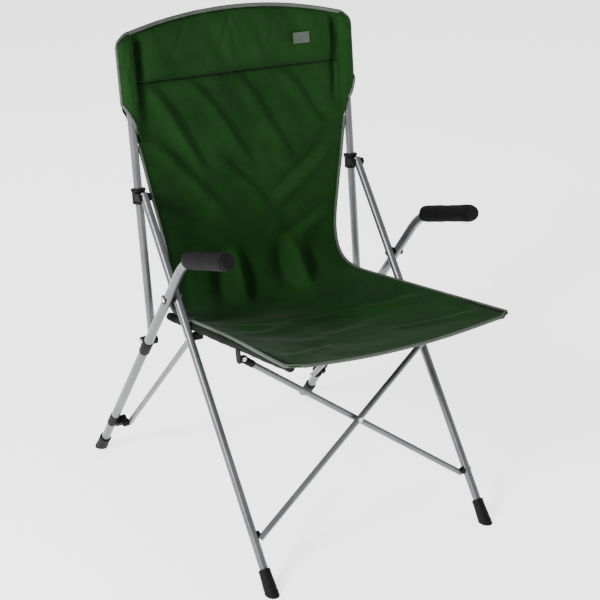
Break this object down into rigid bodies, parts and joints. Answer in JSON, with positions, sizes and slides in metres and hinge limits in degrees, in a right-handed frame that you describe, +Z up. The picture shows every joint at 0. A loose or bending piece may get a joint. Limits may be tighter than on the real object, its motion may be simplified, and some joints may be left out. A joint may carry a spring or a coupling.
{
  "type": "folding camp chair",
  "caption": "Folding camp chair with scissor side frames, a front cross, foam armrests and a high-backed fabric sling.",
  "frame": {"origin": "centre of the chair's box, on the floor", "axes": "+Z up, the chair faces -Y, +X is the sitter's left; names ending in left are at -X, the left as seen from in front"},
  "size_m": [0.617, 0.8371, 1.0448],
  "materials": {
    "tube": "silver-grey powder coat on steel tube",
    "plastic": "near-black moulded plastic",
    "foam": "black closed-cell foam",
    "rivet": "zinc-plated steel",
    "fabric": "dark green woven polyester",
    "trim": "grey woven tape"
  },
  "bodies": {
    "cross_centre": {"cross_rivet": "rivet"},
    "cross_left": {"cross_tube_left": "tube"},
    "cross_right": {"cross_tube_right": "tube"},
    "hub_left": {"cross_hub_left": "plastic", "hub_pin_left": "rivet"},
    "rail_left": {"seat_rail_left": "tube", "rail_sleeve_left": "fabric", "rail_cap_left": "plastic", "rail_bracket_left": "plastic", "rail_rivet_left": "rivet", "hub_bracket_left": "plastic"},
    "leg_left": {"front_leg_left": "tube", "front_boot_left": "plastic", "leg_knob_left": "plastic", "crossing_rivet_left": "rivet"},
    "arm_left": {"arm_tube_left": "tube", "rear_boot_left": "plastic", "arm_grip_left": "foam", "grip_plug_left": "plastic", "pole_fitting_left": "plastic", "rear_bracket_left": "plastic", "strut_rivet_left": "rivet", "crossing_spacer_left": "plastic"},
    "collar_left": {"collar_left": "plastic", "collar_rivet_left": "rivet"},
    "pole_left": {"back_pole_left": "tube", "pole_eye_left": "plastic", "pole_pocket_left": "fabric"},
    "strut_left": {"rear_strut_left": "tube"},
    "hub_right": {"cross_hub_right": "plastic", "hub_pin_right": "rivet"},
    "rail_right": {"seat_rail_right": "tube", "rail_sleeve_right": "fabric", "rail_cap_right": "plastic", "rail_bracket_right": "plastic", "rail_rivet_right": "rivet", "hub_bracket_right": "plastic"},
    "leg_right": {"front_leg_right": "tube", "front_boot_right": "plastic", "leg_knob_right": "plastic", "crossing_rivet_right": "rivet"},
    "arm_right": {"arm_tube_right": "tube", "rear_boot_right": "plastic", "arm_grip_right": "foam", "grip_plug_right": "plastic", "pole_fitting_right": "plastic", "rear_bracket_right": "plastic", "strut_rivet_right": "rivet", "crossing_spacer_right": "plastic"},
    "collar_right": {"collar_right": "plastic", "collar_rivet_right": "rivet"},
    "pole_right": {"back_pole_right": "tube", "pole_eye_right": "plastic", "pole_pocket_right": "fabric"},
    "strut_right": {"rear_strut_right": "tube"},
    "sling_back": {"back_sling": "fabric", "headrest_pad": "fabric", "blank_label": "trim"},
    "sling_seat": {"seat_sling": "fabric"}
  },
  "joints": [
    {"name": "fold", "type": "hinge", "parent": "cross_centre", "child": "cross_left", "pos_m": [0, -0.26683, 0.27552], "axis": [0, -0.9829, 0.1844], "range_deg": [0, 45.45], "deforming": ["seat_sling", "back_sling", "headrest_pad", "blank_label"]},
    {"name": "cross_right_turn", "type": "hinge", "parent": "cross_centre", "child": "cross_right", "pos_m": [0, -0.26683, 0.27552], "axis": [0, 0.9829, -0.1844], "range_deg": [0, 45.47]},
    {"name": "hub_turn_right", "type": "hinge", "parent": "cross_left", "child": "hub_right", "pos_m": [0.249, -0.2333, 0.45427], "axis": [0, 0.9829, -0.1844], "range_deg": [0, 45.47]},
    {"name": "rail_turn_right", "type": "hinge", "parent": "hub_right", "child": "rail_right", "pos_m": [0.249, -0.2333, 0.45427], "axis": [-1, 0, 0], "range_deg": [0, 88.09]},
    {"name": "leg_turn_right", "type": "hinge", "parent": "rail_right", "child": "leg_right", "pos_m": [0.27, -0.0459, 0.43817], "axis": [1, 0, 0], "range_deg": [0, 110.8]},
    {"name": "arm_turn_right", "type": "hinge", "parent": "leg_right", "child": "arm_right", "pos_m": [0.29, 0.00759, 0.50993], "axis": [-1, 0, 0], "range_deg": [0, 68.01]},
    {"name": "collar_turn_right", "type": "hinge", "parent": "leg_right", "child": "collar_right", "pos_m": [0.27, 0.14205, 0.69033], "axis": [-1, 0, 0], "range_deg": [0, 28.94]},
    {"name": "pole_slide_right", "type": "slide", "parent": "collar_right", "child": "pole_right", "axis": [0, -0.1236, -0.9923], "range_m": [0, 0.09039]},
    {"name": "strut_turn_right", "type": "hinge", "parent": "arm_right", "child": "strut_right", "pos_m": [0.26, 0.3035, 0.098], "axis": [1, 0, 0], "range_deg": [0, 12.01]},
    {"name": "hub_turn_left", "type": "hinge", "parent": "cross_right", "child": "hub_left", "pos_m": [-0.249, -0.2333, 0.45427], "axis": [0, -0.9829, 0.1844], "range_deg": [0, 45.47]},
    {"name": "rail_turn_left", "type": "hinge", "parent": "hub_left", "child": "rail_left", "pos_m": [-0.249, -0.2333, 0.45427], "axis": [-1, 0, 0], "range_deg": [0, 88.09]},
    {"name": "leg_turn_left", "type": "hinge", "parent": "rail_left", "child": "leg_left", "pos_m": [-0.27, -0.0459, 0.43817], "axis": [1, 0, 0], "range_deg": [0, 110.8]},
    {"name": "arm_turn_left", "type": "hinge", "parent": "leg_left", "child": "arm_left", "pos_m": [-0.29, 0.00759, 0.50993], "axis": [-1, 0, 0], "range_deg": [0, 68.01]},
    {"name": "collar_turn_left", "type": "hinge", "parent": "leg_left", "child": "collar_left", "pos_m": [-0.27, 0.14205, 0.69033], "axis": [-1, 0, 0], "range_deg": [0, 28.94]},
    {"name": "pole_slide_left", "type": "slide", "parent": "collar_left", "child": "pole_left", "axis": [0, -0.1236, -0.9923], "range_m": [0, 0.09039]},
    {"name": "strut_turn_left", "type": "hinge", "parent": "arm_left", "child": "strut_left", "pos_m": [-0.26, 0.3035, 0.098], "axis": [1, 0, 0], "range_deg": [0, 12.01]},
    {"name": "sling_shift", "type": "slide", "parent": "pole_left", "child": "sling_back", "axis": [-1, 0, 0], "range_m": [0, 0.20406]},
    {"name": "seat_turn", "type": "hinge", "parent": "sling_back", "child": "sling_seat", "pos_m": [0, 0.04978, 0.36295], "axis": [-1, 0, 0], "range_deg": [0, 81.87]}
  ],
  "couplings": [
    {"joint": "cross_right_turn", "follows": "fold", "ratio": 1},
    {"joint": "hub_turn_right", "follows": "fold", "ratio": 1},
    {"joint": "rail_turn_right", "follows": "fold", "ratio": 1.9377},
    {"joint": "leg_turn_right", "follows": "fold", "ratio": 2.4373},
    {"joint": "arm_turn_right", "follows": "fold", "ratio": 1.4959},
    {"joint": "collar_turn_right", "follows": "fold", "ratio": 0.63645},
    {"joint": "pole_slide_right", "follows": "fold", "m_per_rad": 0.11381},
    {"joint": "strut_turn_right", "follows": "fold", "ratio": 0.26399},
    {"joint": "hub_turn_left", "follows": "fold", "ratio": 1},
    {"joint": "rail_turn_left", "follows": "fold", "ratio": 1.9377},
    {"joint": "leg_turn_left", "follows": "fold", "ratio": 2.4373},
    {"joint": "arm_turn_left", "follows": "fold", "ratio": 1.4959},
    {"joint": "collar_turn_left", "follows": "fold", "ratio": 0.63645},
    {"joint": "pole_slide_left", "follows": "fold", "m_per_rad": 0.11381},
    {"joint": "strut_turn_left", "follows": "fold", "ratio": 0.26399},
    {"joint": "sling_shift", "follows": "fold", "m_per_rad": 0.25708},
    {"joint": "seat_turn", "follows": "fold", "ratio": 1.8008}
  ]
}
